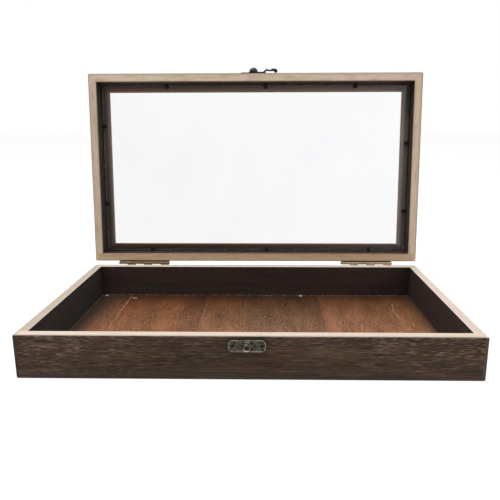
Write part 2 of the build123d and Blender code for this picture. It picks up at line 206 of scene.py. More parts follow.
def make_floor():
    """A plain pale floor that shows white and keeps a faint shadow of the box."""
    material, tree = new_material("pale_studio_floor")
    path = add(tree, "LightPath")
    seen = add(tree, "Math", {0: path.outputs["Is Camera Ray"], 1: path.outputs["Is Glossy Ray"]},
               operation="MAXIMUM")
    glow = add(tree, "Emission", {"Color": linear("#FFFFFF"), "Strength": 0.86})
    faint = add(tree, "BsdfDiffuse", {"Color": linear("#8F8F8F")})
    white = add(tree, "AddShader", {0: glow.outputs[0], 1: faint.outputs[0]})
    paper = add(tree, "BsdfDiffuse", {"Color": linear("#E4E2DF")})
    both = add(tree, "MixShader", {0: seen.outputs[0], 1: paper.outputs[0], 2: white.outputs[0]})
    full = add(tree, "Emission", {"Color": linear("#FFFFFF"), "Strength": 1.0})
    both = add(tree, "MixShader", {0: path.outputs["Is Transmission Ray"], 1: both.outputs[0],
                                   2: full.outputs[0]})
    add(tree, "OutputMaterial", {"Surface": both.outputs[0]})

    # It ends in front of the box, where the pane would otherwise mirror it, and keeps just clear of the underside
    half_size, back, below_mm = 4.0, 3.45, 0.2
    shape = bmesh.new()
    bmesh.ops.create_grid(shape, x_segments=1, y_segments=1, size=half_size)
    bmesh.ops.translate(shape, vec=(0, back, -below_mm * mm), verts=shape.verts)
    mesh = bpy.data.meshes.new("studio_floor")
    shape.to_mesh(mesh)
    shape.free()
    mesh.materials.append(material)
    floor = bpy.data.objects.new("studio_floor", mesh)
    bpy.context.scene.collection.objects.link(floor)


def make_softbox(name, place, target, size, watts, colour):
    """A square area lamp at a place, turned to a target."""
    data = bpy.data.lights.new(name, "AREA")
    data.shape = "SQUARE"
    data.size = size
    data.energy = watts
    data.color = linear(colour)[:3]
    lamp = bpy.data.objects.new(name, data)
    lamp.location = place
    lamp.rotation_euler = (Vector(target) - Vector(place)).to_track_quat("-Z", "Y").to_euler()
    bpy.context.scene.collection.objects.link(lamp)


# Wood of the boards and strips

def on_board(tree, grain, shift_mm, lid):
    """Where a point of a board lies, with distances in millimetres, and the patterns of its grain.

    from_side goes in from the nearer side face. Of it and the distance in from the front or rear face, inward is the
    lesser and from_corner the greater. from_face and from_rim are heights from the face that the tray stands on, or
    the lid's top, and from the rim.
    """
    shut = on_shut_box(tree, lid)
    quarter = math.pi / 2 if grain == "Y" else 0.0
    along = add(tree, "Mapping", {"Vector": shut, "Location": shift_mm, "Rotation": (0, 0, quarter)}).outputs[0]
    # The grain wanders a little from a straight line
    wander_mm = 1.7
    wander = blotches(tree, along, (55, 16, 16), 1.5)
    bent = add(tree, "VectorMath", {0: wander.outputs["Color"], 1: (0, wander_mm, wander_mm), 2: along},
               operation="MULTIPLY_ADD").outputs[0]

    def drawn(length_mm, width_mm, detail):
        """Noise in streaks of about this length and width along the grain."""
        return blotches(tree, bent, (length_mm, width_mm, width_mm), detail).outputs["Fac"]

    place = add(tree, "SeparateXYZ", {"Vector": shut})
    ways_in = []
    for axis, half_mm in (("X", half_width_mm), ("Y", half_depth_mm)):
        off_middle = add(tree, "Math", {0: place.outputs[axis]}, operation="ABSOLUTE")
        ways_in.append(add(tree, "Math", {0: half_mm, 1: off_middle.outputs[0]}, operation="SUBTRACT").outputs[0])
    inward, from_corner = (add(tree, "Math", {0: ways_in[0], 1: ways_in[1]}, operation=kind).outputs[0]
                           for kind in ("MINIMUM", "MAXIMUM"))
    heights = []
    for level_mm in (lid_top_mm, lid_rim_mm) if lid else (0.0, tray_rim_mm):
        above = add(tree, "Math", {0: place.outputs["Z"], 1: level_mm}, operation="SUBTRACT")
        heights.append(add(tree, "Math", {0: above.outputs[0]}, operation="ABSOLUTE").outputs[0])
    coated = add(tree, "MapRange", {"Value": inward, "From Min": board_mm - 0.5, "From Max": board_mm - 0.1,
                                    "To Max": 0.8})
    return SimpleNamespace(
        grain=grain, lid=lid, shut=shut, y=place.outputs["Y"], z=place.outputs["Z"], from_side=ways_in[0],
        inward=inward, from_corner=from_corner, from_face=heights[0], from_rim=heights[1],
        coated=coated.outputs[0], drawn=drawn, streaks=drawn(60.0, 0.8, 2.5), dashes=drawn(5.5, 0.42, 0.0),
        clouds=drawn(60.0, 14.0, 1.0))


def wiped_stain(tree, board, end_grain):
    """The stain outside, with its rubbed dashes and dark pores, and the share of pores in it."""
    tone = add(tree, "Mix", {"Factor": 0.35, "A": board.drawn(130.0, 11.0, 2.0), "B": board.streaks})
    stain = add(tree, "ValToRGB", {"Fac": tone.outputs[0]},
                stops=[(0.34, "#2E221A"), (0.45, "#3C2E24"), (0.54, "#46362A"), (0.66, "#574334")])
    tint = add(tree, "ValToRGB", {"Fac": board.drawn(20.0, 6.0, 1.0)},
               stops=[(0.36, "#B8BCB2"), (0.5, "#BCBCBC"), (0.64, "#C4B7B4")])
    stain = layered(tree, stain.outputs[0], (1.0, tint.outputs[0]), kind="MULTIPLY")
    # The tint's middle grey halves the light. This gives it back, more of it along the lighter streaks
    lighter = add(tree, "MapRange", {"Value": board.streaks, "From Min": 0.3, "From Max": 0.7, "To Min": 1.5,
                                     "To Max": 2.6})
    stain = add(tree, "VectorMath", {0: stain, "Scale": lighter.outputs[0]}, operation="SCALE").outputs[0]
    violet = add(tree, "MapRange", {"Value": board.clouds, "From Min": 0.54, "From Max": 0.7, "To Max": 0.35})

    # The rubbed dashes crowd where the grain is coarse, towards the board's ends and towards the rim
    rubbed = add(tree, "MapRange", {"Value": board.dashes, "From Min": 0.52, "From Max": 0.6}).outputs[0]
    for value, near, far, share_near, share_far in ((board.drawn(22.0, 5.0, 2.0), 0.40, 0.60, 0.2, 0.7),
                                                    (board.from_side, 40.0, 130.0, 1.0, 0.4),
                                                    (board.from_face, 4.0, 28.0, 0.55, 1.75)):
        share = add(tree, "MapRange", {"Value": value, "From Min": near, "From Max": far, "To Min": share_near,
                                       "To Max": share_far})
        rubbed = add(tree, "Math", {0: rubbed, 1: share.outputs[0]}, operation="MULTIPLY").outputs[0]
    pores = add(tree, "MapRange", {"Value": board.drawn(18.0, 0.45, 0.0), "From Min": 0.54, "From Max": 0.62,
                                   "To Max": 0.55}).outputs[0]

    turned = add(tree, "Mapping", {"Vector": add(tree, "TexCoord").outputs["Normal"],
                                   "Rotation": (open_angle if board.lid else 0.0, 0, 0)}, vector_type="VECTOR")
    facing = add(tree, "SeparateXYZ", {"Vector": turned.outputs[0]})
    ends = add(tree, "Math", {0: facing.outputs[board.grain]}, operation="ABSOLUTE")
    ends = add(tree, "MapRange", {"Value": ends.outputs[0], "From Min": 0.8, "From Max": 0.95, "To Max": 0.75})
    stain = layered(tree, stain, (violet.outputs[0], "#3B3137"), (rubbed, "#7E6657"), (pores, "#1F1611"),
                    (ends.outputs[0], end_grain))
    return stain, pores


def second_coat(tree, board, stain, inside):
    """The smoother coat on the walls inside. It has olive clouds, and painted shade darkens it in the tray's inner
    corners.
    """
    olive = add(tree, "MapRange", {"Value": board.clouds, "From Min": 0.52, "From Max": 0.4, "To Max": 0.6})
    corner_shade = add(tree, "MapRange", {"Value": board.from_corner, "From Min": board_mm + 2.0,
                                   "From Max": board_mm + 11.0, "To Min": 0.0 if board.lid else 0.7,
                                   "To Max": 0.0})
    coat = layered(tree, linear(inside), (olive.outputs[0], "#32362E"), (corner_shade.outputs[0], "#171714"))
    return layered(tree, stain, (board.coated, coat))


def worn(tree, board, colour):
    """Handling greyed the outer arrises and the edge that the box stands on."""
    low = add(tree, "Math", {0: board.from_face, 1: board.inward}, operation="MAXIMUM")
    low = add(tree, "MapRange", {"Value": low.outputs[0], "From Min": 1.0, "From Max": 11.0, "To Min": 0.2,
                                 "To Max": 0.0})
    arris = add(tree, "Math", {0: board.from_corner, 1: board.from_face}, operation="MINIMUM")
    arris = add(tree, "Math", {0: arris.outputs[0], 1: board.inward}, operation="MAXIMUM")
    arris = add(tree, "MapRange", {"Value": arris.outputs[0], "From Min": 0.5, "From Max": 1.1, "To Min": 0.7,
                                   "To Max": 0.0})
    return layered(tree, colour, (low.outputs[0], "#5A5052"), (arris.outputs[0], "#4B4C55"))


def painted_fitting_shadow(tree, board, colour, node):
    """Painted shadow: the wood round a fitting is darkened as if in its shade."""
    margin_mm = 4
    low, high = (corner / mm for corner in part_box(node))
    middle, reach = (low + high) / 2, (high - low) / 2
    scale = (1 / (reach.x + margin_mm), 0, 1 / (reach.z + margin_mm))
    halo = add(tree, "Mapping", {"Vector": board.shut, "Scale": scale,
                                 "Location": (-middle.x * scale[0], 0, -middle.z * scale[2])})
    halo = add(tree, "VectorMath", {0: halo.outputs[0]}, operation="LENGTH")
    halo = add(tree, "MapRange", {"Value": halo.outputs["Value"], "From Min": 0.85, "From Max": 1.15,
                                  "To Min": 0.6, "To Max": 0.0})
    return layered(tree, colour, (halo.outputs[0], "#2F261C"))


def sawn_rim(tree, board, colour, raw_colours):
    """The rim was sawn after staining: raw tan wood with pinkish and olive lines, greyed along its outer edge."""
    pale, tan, pink, olive, edge = raw_colours
    raw = add(tree, "ValToRGB", {"Fac": board.drawn(45.0, 0.9, 2.0)}, stops=[(0.32, tan), (0.6, pale)])
    tint = add(tree, "ValToRGB", {"Fac": board.drawn(70.0, 3.0, 1.0)},
               stops=[(0.34, olive), (0.5, tan), (0.64, pink)])
    smudged = add(tree, "MapRange", {"Value": board.drawn(16.0, 4.0, 2.0), "From Min": 0.48, "From Max": 0.7,
                                     "To Max": 0.35 if board.lid else 0.1})
    greyed = add(tree, "MapRange", {"Value": board.inward, "From Min": 0.9, "From Max": 2.4, "To Min": 0.75,
                                    "To Max": 0.0})
    arris = add(tree, "MapRange", {"Value": board.inward, "From Min": board_mm - 1.3, "From Max": board_mm - 0.6,
                                   "To Max": 0.45 if board.lid else 0.6})
    raw = layered(tree, raw.outputs[0], (0.6, tint.outputs[0]), (smudged.outputs[0], "#A67F5F"),
                  (greyed.outputs[0], edge), (arris.outputs[0], "#8F7259" if board.lid else "#DCCDC8"))
    sawn = add(tree, "MapRange", {"Value": board.from_rim, "From Min": 0.15, "From Max": 0.4, "To Min": 1.0,
                                  "To Max": 0.0})
    return layered(tree, colour, (sawn.outputs[0], raw))


def lip_coat_and_painted_light(tree, board, stain, inside):
    """A strip's face on the pane takes the inner coat under painted shade and highlights that run across it, and its
    cut edge at the opening is paler, a painted highlight.
    """
    on_pane = add(tree, "MapRange", {"Value": board.z, "From Min": lip_low.z / mm + 0.05,
                                     "From Max": lip_low.z / mm + 0.5, "To Min": 1.0, "To Max": 0.0}).outputs[0]
    coated = add(tree, "Math", {0: board.coated, 1: on_pane}, operation="MULTIPLY")
    colour = layered(tree, stain, (coated.outputs[0], inside))
    over_lip = add(tree, "MapRange", {"Value": board.inward, "From Min": board_mm, "From Max": board_mm + lip_mm})
    # Painted shade and highlights across the strip's face, bluish at the pane's edge and pale towards the opening
    lip_shading = add(tree, "ValToRGB", {"Fac": over_lip.outputs[0]},
                stops=[(0.05, "#DADCE6"), (0.4, "#8E868C"), (0.7, "#C4BCB8"), (0.95, "#F4E8DC")])
    shaded = layered(tree, colour, (1.0, lip_shading.outputs[0]), kind="MULTIPLY")
    if board.grain == "Y":
        # A side strip is lighter towards the front
        rear = add(tree, "MapRange", {"Value": board.y, "From Min": -80.0, "From Max": 60.0, "To Min": 1.35,
                                      "To Max": 0.75})
        shaded = add(tree, "VectorMath", {0: shaded, "Scale": rear.outputs[0]}, operation="SCALE").outputs[0]
    # A painted highlight on the cut edge at the opening
    cut = add(tree, "MapRange", {"Value": over_lip.outputs[0], "From Min": 0.95, "From Max": 0.98, "To Max": 0.9})
    return layered(tree, colour, (on_pane, shaded), (cut.outputs[0], "#8C7564"))


def stained_wood(name, grain, shift_mm, lid, inside, raw_colours=None, end_grain="#38302F", shadow_round=None):
    """Open-pored hardwood, sanded and wiped with dark walnut stain.

    The eye sees a brown that is nearly black, with fine streaks, short pinkish dashes where the stain was rubbed
    off, most of them near the ends and the rim, dark pores and faint violet patches. The inside took a second,
    smoother coat, and end grain drinks more stain. A board has a sawn rim in its raw colours, and a strip of the
    window frame, which comes without them, has none. shadow_round is the node round which a shadow is painted into
    the wood. Pores and dashes are drawn between 0.4 and 0.5 mm wide, about twice their real width, to show at this
    size.
    """
    material, tree = new_material(name)
    board = on_board(tree, grain, shift_mm, lid)
    stain, pores = wiped_stain(tree, board, end_grain)
    if raw_colours:
        colour = worn(tree, board, second_coat(tree, board, stain, inside))
        if shadow_round:
            colour = painted_fitting_shadow(tree, board, colour, shadow_round)
        colour = sawn_rim(tree, board, colour, raw_colours)
    else:
        colour = lip_coat_and_painted_light(tree, board, stain, inside)
    relief = add(tree, "Math", {0: board.streaks, 1: board.dashes}, operation="ADD")
    relief = add(tree, "Math", {0: relief.outputs[0], 1: pores}, operation="SUBTRACT")
    surfaced(tree, relief.outputs[0], 0.3, 0.12,
             {"Base Color": colour, "Roughness": 0.65, "Specular IOR Level": 0.15})
    return material


# Plywood of the tray's floor

# Marks, each as start, end, width and how bare the wood is there
scratches_mm = [((-134.4, 87.0), (-133.8, 58.0), 1.0, 0.9),
                ((-133.8, 60.0), (-133.0, -14.0), 0.9, 0.8),
                ((-49.2, 80.0), (-49.0, 2.0), 0.8, 0.45),
                ((143.6, 63.0), (139.8, 39.0), 0.8, 1.1),
                ((139.8, 41.0), (142.2, 15.0), 0.8, 1.1),
                ((141.8, 15.0), (147.5, 12.5), 0.8, 1.1)]

# Where one leaf of the veneer ends and the next starts, as places along X with the leaf's own colour
veneer_mm = [(-167.5, "#815338"), (-72.0, "#774E35"), (-50.0, "#80573C"), (-7.0, "#704F3A"), (68.0, "#8B5E44")]

# Specks of glue along the rear joint, and soft marks as place, radius, strength and colour
glue_specks_mm = [(-162.0, 88.0), (50.0, 89.0)]
soft_marks_mm = [((-88.0, -3.0), 9.0, 0.35, "#A0603A"), ((-129.5, 80.0), 3.4, 0.5, "#B79C86")]


def on_floor(tree):
    """Where a point of the floor lies, its distances from the walls in millimetres, and the patterns of its grain."""
    place = on_shut_box(tree, lid=False)
    parts = add(tree, "SeparateXYZ", {"Vector": place})
    wander_mm = 7.0
    wander = blotches(tree, place, (20, 60, 1))
    bent = add(tree, "VectorMath", {0: wander.outputs["Color"], 1: (wander_mm, 0, 0), 2: place},
               operation="MULTIPLY_ADD").outputs[0]

    def drawn(length_mm, width_mm, detail):
        """Noise in streaks of about this length and width along the grain."""
        return blotches(tree, bent, (width_mm, length_mm, 1), detail).outputs["Fac"]

    rear, right, left = (
        add(tree, "Math", {0: half_mm - board_mm, 1: parts.outputs[axis]}, operation=kind).outputs[0]
        for half_mm, axis, kind in ((half_depth_mm, "Y", "SUBTRACT"), (half_width_mm, "X", "SUBTRACT"),
                                    (half_width_mm, "X", "ADD")))
    return SimpleNamespace(place=place, x=parts.outputs["X"], from_rear=rear, from_right=right, from_left=left,
                           drawn=drawn, streaks=drawn(18.0, 1.4, 3.0), flecks=drawn(4.5, 0.9, 1.0))


def veneer_stain(tree, sheet):
    """The stain on each leaf of the veneer, with its pale flecks and dark pores."""
    width = 2 * (half_width_mm - board_mm)
    leaf_at = add(tree, "MapRange", {"Value": sheet.x, "From Min": -width / 2, "From Max": width / 2})
    leaf = add(tree, "ValToRGB", {"Fac": leaf_at.outputs[0]},
               stops=[((at + width / 2) / width, colour) for at, colour in veneer_mm])
    leaf.color_ramp.interpolation = "CONSTANT"
    tone = add(tree, "Mix", {"Factor": 0.6, "A": sheet.drawn(150.0, 22.0, 2.0), "B": sheet.streaks})
    tone = add(tree, "Mix", {"Factor": 0.24, "A": tone.outputs[0], "B": sheet.drawn(34.0, 12.0, 2.0)})
    tone = add(tree, "ValToRGB", {"Fac": tone.outputs[0]},
               stops=[(0.37, "#8E8B88"), (0.5, "#B8B7B6"), (0.63, "#ECE9E5")])
    stain = layered(tree, leaf.outputs[0], (1.0, tone.outputs[0]), kind="MULTIPLY")
    # The ramp's middle grey halves the light, which this gives back
    stain = add(tree, "VectorMath", {0: stain, "Scale": 2.0}, operation="SCALE").outputs[0]
    pale = add(tree, "MapRange", {"Value": sheet.flecks, "From Min": 0.52, "From Max": 0.68, "To Max": 0.5})
    dark = add(tree, "MapRange", {"Value": sheet.drawn(4.5, 1.0, 1.0), "From Min": 0.54, "From Max": 0.68,
                                  "To Max": 0.28})
    return layered(tree, stain, (pale.outputs[0], "#B08F70"), (dark.outputs[0], "#4A2E1E"))


def painted_wall_shade(tree, sheet, stain):
    """Painted shade: the floor is darker towards the rear joint, with painted shadows of the side walls along them,
    wider at the left's front.
    """
    behind = add(tree, "MapRange", {"Value": sheet.from_rear, "From Min": 0.0, "From Max": 120.0})
    depth = add(tree, "ValToRGB", {"Fac": behind.outputs[0]},
                stops=[(0.0, "#6E6660"), (0.08, "#867E76"), (0.25, "#B0A99E"), (0.42, "#C6C1B7"),
                       (0.58, "#D9D6CE"), (0.75, "#EDEBE6"), (1.0, "#FFFFFF")])
    stain = layered(tree, stain, (1.0, depth.outputs[0]), kind="MULTIPLY")
    # Painted shadows of the side walls on the floor
    slanted = add(tree, "Math", {0: sheet.from_rear, 1: 0.06, 2: sheet.from_left}, operation="MULTIPLY_ADD")
    for inward, start_mm, end_mm, shadow_colour in ((sheet.from_right, 0.0, 11.0, "#3A2A20"),
                                           (slanted.outputs[0], 12.0, 33.0, "#3A2F29")):
        wall_shadow = add(tree, "MapRange", {"Value": inward, "From Min": start_mm, "From Max": end_mm,
                                        "To Min": 0.9, "To Max": 0.0})
        stain = layered(tree, stain, (wall_shadow.outputs[0], shadow_colour))
    return stain


def scratch(tree, sheet, start_mm, end_mm, width_mm, strength):
    """A straight scratch: strength on its line, and 0 beside it and past its ends."""
    run = Vector(end_mm) - Vector(start_mm)
    middle = (Vector(end_mm) + Vector(start_mm)) / 2
    turn = -math.atan2(run.y, run.x)
    away = Matrix.Rotation(turn, 2) @ -middle
    laid = add(tree, "Mapping", {"Vector": sheet.place, "Rotation": (0, 0, turn), "Location": (away.x, away.y, 0)})
    parts = add(tree, "SeparateXYZ", {"Vector": laid.outputs[0]})
    mark = strength
    for axis, full_mm, gone_mm in (("X", run.length * 0.35, run.length * 0.55), ("Y", width_mm * 0.3, width_mm)):
        off = add(tree, "Math", {0: parts.outputs[axis]}, operation="ABSOLUTE")
        near = add(tree, "MapRange", {"Value": off.outputs[0], "From Min": full_mm, "From Max": gone_mm,
                                      "To Min": 1.0, "To Max": 0.0})
        mark = add(tree, "Math", {0: near.outputs[0], 1: mark}, operation="MULTIPLY").outputs[0]
    return mark


def spot(tree, sheet, at_mm, radius_mm, strength):
    """A soft round mark."""
    apart = add(tree, "VectorMath", {0: sheet.place, 1: (*at_mm, floor_top_mm)}, operation="DISTANCE")
    return add(tree, "MapRange", {"Value": apart.outputs["Value"], "From Min": radius_mm * 0.4,
                                  "From Max": radius_mm, "To Min": strength, "To Max": 0.0}).outputs[0]


def marked(tree, sheet, stain):
    """The floor's soft marks, its scratches to the bare wood and its glue."""
    for at_mm, radius_mm, strength, colour in soft_marks_mm:
        stain = layered(tree, stain, (spot(tree, sheet, at_mm, radius_mm, strength), colour))
    bare = 0.0
    for mark in scratches_mm:
        bare = add(tree, "Math", {0: bare, 1: scratch(tree, sheet, *mark)}, operation="MAXIMUM").outputs[0]
    broken = add(tree, "MapRange", {"Value": sheet.flecks, "From Min": 0.38, "From Max": 0.6, "To Min": 0.1,
                                    "To Max": 0.5})
    bare = add(tree, "Math", {0: bare, 1: broken.outputs[0]}, operation="MULTIPLY")

    # White dust of glue along the rear joint, a faint line of it along the left one, and two specks
    joint = add(tree, "MapRange", {"Value": sheet.from_rear, "From Min": 0.6, "From Max": 3.2, "To Min": 1.0,
                                   "To Max": 0.0})
    dust = add(tree, "TexNoise", {"Vector": sheet.place, "Scale": 0.42, "Detail": 2.0})
    dust = add(tree, "MapRange", {"Value": dust.outputs["Fac"], "From Min": 0.54, "From Max": 0.70,
                                  "To Min": 0.03, "To Max": 0.6})
    glue = add(tree, "Math", {0: joint.outputs[0], 1: dust.outputs[0]}, operation="MULTIPLY").outputs[0]
    beside = add(tree, "MapRange", {"Value": sheet.from_left, "From Min": 0.5, "From Max": 2.0, "To Min": 0.08,
                                    "To Max": 0.0})
    for more in [beside.outputs[0]] + [spot(tree, sheet, at_mm, 2.6, 0.9) for at_mm in glue_specks_mm]:
        glue = add(tree, "Math", {0: glue, 1: more}, operation="MAXIMUM").outputs[0]
    return layered(tree, stain, (bare.outputs[0], "#C79B78"), (glue, "#CFC8C0"))


def stained_plywood():
    """Thin plywood with a red-brown stain.

    The eye sees a warm brown whose fine grain runs from front to back, with a slightly different tone on each leaf
    of the veneer, small pale flecks and dark pores. Painted shade darkens it towards the rear joint, and painted
    shadows of the side walls lie along them. A few thin scratches reach the bare wood, and white specks of glue
    lie along the rear joint. Pores and flecks are drawn at 1 mm, about twice their real width, to show at this size.
    """
    material, tree = new_material("red_brown_plywood")
    sheet = on_floor(tree)
    stain = marked(tree, sheet, painted_wall_shade(tree, sheet, veneer_stain(tree, sheet)))
    gloss = add(tree, "MapRange", {"Value": sheet.streaks, "From Min": 0.3, "From Max": 0.7, "To Min": 0.42,
                                   "To Max": 0.6})
    surfaced(tree, sheet.streaks, 0.25, 0.15,
             {"Base Color": stain, "Roughness": gloss.outputs[0], "Specular IOR Level": 0.12})
    return material


# Glass and metal

def float_glass():
    """Clear float glass: it shows only by its reflections, and by a faint film where it was wiped."""
    material, tree = new_material("clear_float_glass")
    coords = add(tree, "TexCoord")
    smear = blotches(tree, coords.outputs["Object"], (60 * mm,) * 3)
    film = add(tree, "ValToRGB", {"Fac": smear.outputs["Fac"]}, stops=[(0.42, "#FFFFFF"), (0.68, "#FDFDFF")])
    glass = add(tree, "BsdfPrincipled", {"Base Color": film.outputs[0], "Roughness": 0.0,
                                         "IOR": 1.5, "Transmission Weight": 1.0})
    clear = add(tree, "BsdfTransparent", {"Color": linear("#F6FAF8")})
    path = add(tree, "LightPath")
    both = add(tree, "MixShader", {0: path.outputs["Is Shadow Ray"], 1: glass.outputs[0], 2: clear.outputs[0]})
    add(tree, "OutputMaterial", {"Surface": both.outputs[0]})
    return material


def ground_edge():
    """The pane's cut edge, rubbed dull with a stone: frosted grey-green, with white specks of dust in it.

    The specks are drawn at 2.4 mm, far coarser than dust is, to show at this size.
    """
    material, tree = new_material("ground_glass_edge")
    coords = add(tree, "TexCoord")
    specks = blotches(tree, coords.outputs["Object"], (2.4 * mm,) * 3).outputs["Fac"]
    colour = add(tree, "ValToRGB", {"Fac": specks}, stops=[(0.4, "#4E5858"), (0.62, "#66716F"), (0.72, "#D9DCDA")])
    surfaced(tree, specks, 0.3, 0.05, {"Base Color": colour.outputs[0], "Roughness": 0.7})
    return material


def black_enamel():
    """Sheet steel dipped in black enamel, with a soft sheen and dusty specks.

    The specks are drawn at 0.8 mm, coarser than they are, to show at this size.
    """
    material, tree = new_material("black_enamelled_steel")
    coords = add(tree, "TexCoord")
    grit = blotches(tree, coords.outputs["Object"], (0.8 * mm,) * 3).outputs["Fac"]
    colour = add(tree, "ValToRGB", {"Fac": grit}, stops=[(0.4, "#161412"), (0.7, "#2C2826")])
    surfaced(tree, grit, 0.2, 0.05,
             {"Base Color": colour.outputs[0], "Roughness": 0.5, "Specular IOR Level": 0.25})
    return material


def antique_bronze(name, lid, dark, middle, rubbed_and_lit_to, dullness=(0.38, 0.55), rub=(0.3, 1.0), lit_below_mm=None):
    """Pressed steel with an antique bronze plating that was blackened and rubbed.

    The eye sees a mottled near-black, and paler brown metal where it was rubbed, everywhere. With lit_below_mm the
    paler metal stays only below those heights, a painted highlight of the light from below.
    """
    material, tree = new_material(name)
    shut = on_shut_box(tree, lid)
    cloud = blotches(tree, shut, (2.4,) * 3, 3.0).outputs["Fac"]
    patina = add(tree, "ValToRGB", {"Fac": cloud}, stops=[(0.36, dark), (0.6, middle)])
    rubbed = add(tree, "MapRange", {"Value": cloud, "From Min": 0.36, "From Max": 0.62, "To Min": rub[0],
                                    "To Max": rub[1]})
    # Painted highlight: the paler metal is kept below these heights, as if lit from below
    if lit_below_mm:
        height = add(tree, "SeparateXYZ", {"Vector": shut})
        under = add(tree, "MapRange", {"Value": height.outputs["Z"], "From Min": lit_below_mm[0], "From Max": lit_below_mm[1],
                                       "To Min": 1.0, "To Max": 0.12})
        rubbed = add(tree, "Math", {0: under.outputs[0], 1: rubbed.outputs[0]}, operation="MULTIPLY")
    colour = layered(tree, patina.outputs[0], (rubbed.outputs[0], rubbed_and_lit_to))
    gloss = add(tree, "MapRange", {"Value": cloud, "From Min": 0.3, "From Max": 0.7, "To Min": dullness[0],
                                   "To Max": dullness[1]})
    surfaced(tree, cloud, 0.35, 0.15, {"Base Color": colour, "Metallic": 0.9, "Roughness": gloss.outputs[0]})
    return material


# Pieces

sharpest_smooth = math.radians(38)
steps_per_turn = 40


def paint(node, material):
    """Give a CAD node's object a material in every slot."""
    mesh = frame["nodes"][node].data
    if not mesh.materials:
        mesh.materials.append(material)
    for index in range(len(mesh.materials)):
        mesh.materials[index] = material


def finished(name, shape, materials, body, slot, *nodes, smooth=True):
    """Turn a shape, in metres and in place, into a piece that rides on a body and stands for CAD nodes."""
    mesh = bpy.data.meshes.new(name)
    shape.to_mesh(mesh)
    shape.free()
    for material in materials:
        mesh.materials.append(material)
    item = bpy.data.objects.new(name, mesh)
    bpy.context.scene.collection.objects.link(item)
    if smooth:
        mesh.shade_smooth()
        mesh.set_sharp_from_angle(angle=sharpest_smooth)
        # Broad faces stay flat to the eye, and only the rounded edges turn
        flat = item.modifiers.new("flat_faces", "WEIGHTED_NORMAL")
        flat.keep_sharp = True
    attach(item, body)
    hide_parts(*nodes)
    return item


def window_glass():
    """The pane, flat as float glass is, with the sharp corners of its cut edges ground off."""
    arris_mm, air_mm = 0.7, 0.05
    low, high = shut_box("window_pane")
    # A breath of air keeps it off the strips
    high.z -= air_mm * mm
    shape = bmesh.new()
    bmesh.ops.create_cube(shape, size=1.0)
    bmesh.ops.scale(shape, vec=high - low, verts=shape.verts)
    bmesh.ops.translate(shape, vec=(low + high) / 2, verts=shape.verts)
    bmesh.ops.bevel(shape, geom=shape.edges[:], offset=arris_mm * mm, offset_type="OFFSET", affect="EDGES",
                    segments=1, profile=0.5, material=-1)
    shape.normal_update()
    # The two broad faces are clear, and the rest is ground
    for face in shape.faces:
        face.material_index = 0 if abs(face.normal.z) > 0.9 else 1
    bmesh.ops.transform(shape, matrix=opening, verts=shape.verts)
    finished("window_glass", shape, [float_glass(), ground_edge()], "lid", "window_glass", "window_pane",
             smooth=False)


def eased(node, ease_mm, material, body, slot):
    """A CAD node's metal with its sharp edges rounded, as pressing and plating leave them."""
    seam_mm, level, sharpness = 0.002, math.radians(1), math.radians(35)
    shape = bmesh.new()
    shape.from_mesh(frame["nodes"][node].data)
    bmesh.ops.remove_doubles(shape, verts=shape.verts, dist=seam_mm * mm)
    bmesh.ops.dissolve_limit(shape, angle_limit=level, verts=shape.verts, edges=shape.edges)
    sharp = [edge for edge in shape.edges if edge.is_manifold and edge.calc_face_angle() > sharpness]
    bmesh.ops.bevel(shape, geom=sharp, offset=ease_mm * mm, offset_type="OFFSET", affect="EDGES", segments=2,
                    profile=0.5, material=-1, clamp_overlap=True)
    bmesh.ops.triangulate(shape, faces=shape.faces)
    finished(f"{node}_eased", shape, [material], body, slot, node)


def ring(shape, x_mm, y_mm, radius_mm, top_mm, facing=0.0, sweep=math.tau):
    """Add a half-sunk wire bent round a point on the plate, with its top at top_mm. A short sweep leaves it open."""
    wire_mm = 0.6
    wire = wire_mm / 2 * mm
    centre = Vector((x_mm, y_mm, 0)) * mm
    start = Matrix.Rotation(facing - sweep / 2, 4, "Z")
    made = bmesh.ops.create_circle(shape, cap_ends=sweep < math.tau, radius=wire, segments=10)
    across = Matrix.Translation((radius_mm * mm, 0, top_mm * mm - wire)) @ Matrix.Rotation(math.pi / 2, 4, "X")
    bmesh.ops.transform(shape, matrix=Matrix.Translation(centre) @ start @ across, verts=made["verts"])
    profile = set(made["verts"])
    profile = list(profile) + [edge for edge in shape.edges if set(edge.verts) <= profile]
    if sweep < math.tau:
        profile += [face for face in shape.faces if set(face.verts) == set(made["verts"])]
    bmesh.ops.spin(shape, geom=profile, cent=centre, axis=(0, 0, 1), dvec=(0, 0, 0), angle=sweep,
                   steps=round(steps_per_turn * sweep / math.tau), use_merge=sweep >= math.tau,
                   use_duplicate=False)


def plate_blank(length_mm, height_mm, thick_mm):
    """A plate with round ends, lying face up: a raised border round a sunk field, which takes the second material."""
    end_mm, border_mm, wall_mm, sunk_mm, ease_mm, sharpness = 3.2, 0.9, 0.2, 0.45, 0.14, math.radians(30)
    shape = bmesh.new()
    made = bmesh.ops.create_circle(shape, cap_ends=True, radius=1.0, segments=64)
    bmesh.ops.scale(shape, vec=(end_mm * mm, height_mm / 2 * mm, 1), verts=made["verts"])
    for vertex in made["verts"]:
        vertex.co.x += math.copysign((length_mm / 2 - end_mm) * mm, vertex.co.x)
    raised = bmesh.ops.extrude_face_region(shape, geom=shape.faces[:])
    top = [item for item in raised["geom"] if isinstance(item, bmesh.types.BMFace)]
    bmesh.ops.translate(shape, vec=(0, 0, thick_mm * mm), verts=top[0].verts)
    bmesh.ops.inset_region(shape, faces=top, thickness=border_mm * mm, use_even_offset=True)
    bmesh.ops.recalc_face_normals(shape, faces=shape.faces)
    bmesh.ops.inset_region(shape, faces=top, thickness=wall_mm * mm, depth=-sunk_mm * mm, use_even_offset=True)
    top[0].material_index = 1
    sharp = [edge for edge in shape.edges if edge.calc_face_angle() > sharpness]
    bmesh.ops.bevel(shape, geom=sharp, offset=ease_mm * mm, offset_type="OFFSET", affect="EDGES", segments=2,
                    profile=0.5, material=-1)
    return shape


